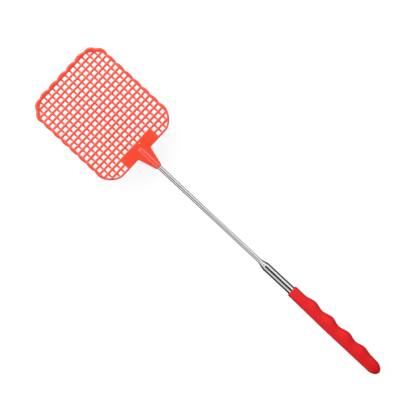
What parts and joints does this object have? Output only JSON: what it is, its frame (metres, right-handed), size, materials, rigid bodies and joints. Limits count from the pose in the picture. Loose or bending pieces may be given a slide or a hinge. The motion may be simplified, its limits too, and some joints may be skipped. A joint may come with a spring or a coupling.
{
  "type": "telescopic fly swatter",
  "caption": "Hand-held fly swatter: a flat mesh head on nested tubes that slide in and out of a moulded finger-shaped grip.",
  "frame": {"origin": "middle of the whole outline at the level of the grip's underside", "axes": "+Y along the tubes from the grip's end to the head's tip, +Z out of the head's upper face, +X to the finger side of the grip"},
  "size_m": [0.1, 0.4526, 0.014],
  "materials": {
    "grip_plastic": "satin soft plastic",
    "head_plastic": "semi-gloss flexible plastic",
    "steel_tube": "polished stainless steel",
    "plug_steel": "machined",
    "shell_brass": "bare spring brass"
  },
  "bodies": {
    "handle": {"grip": "grip_plastic", "outer_tube": "steel_tube", "base_plug": "plug_steel"},
    "shells_1": {"friction_shell_1_a": "shell_brass", "friction_shell_1_b": "shell_brass"},
    "middle_1": {"middle_tube_1": "steel_tube"},
    "shells_2": {"friction_shell_2_a": "shell_brass", "friction_shell_2_b": "shell_brass"},
    "middle_2": {"middle_tube_2": "steel_tube"},
    "shells_3": {"friction_shell_3_a": "shell_brass", "friction_shell_3_b": "shell_brass"},
    "swatter": {"inner_rod": "steel_tube", "swatter_head": "head_plastic"}
  },
  "joints": [
    {"name": "slide_1", "type": "slide", "parent": "handle", "child": "shells_1", "axis": [0, 1, 0], "range_m": [0, 0.1376]},
    {"name": "swivel_1", "type": "hinge", "parent": "shells_1", "child": "middle_1", "pos_m": [0, -0.2, 0.007], "axis": [0, 1, 0], "continuous": true},
    {"name": "slide_2", "type": "slide", "parent": "middle_1", "child": "shells_2", "axis": [0, 1, 0], "range_m": [0, 0.14]},
    {"name": "swivel_2", "type": "hinge", "parent": "shells_2", "child": "middle_2", "pos_m": [0, -0.2, 0.007], "axis": [0, 1, 0], "continuous": true},
    {"name": "slide_3", "type": "slide", "parent": "middle_2", "child": "shells_3", "axis": [0, 1, 0], "range_m": [-0.142, 0]},
    {"name": "swivel_3", "type": "hinge", "parent": "shells_3", "child": "swatter", "pos_m": [0, -0.065, 0.007], "axis": [0, 1, 0], "continuous": true}
  ]
}
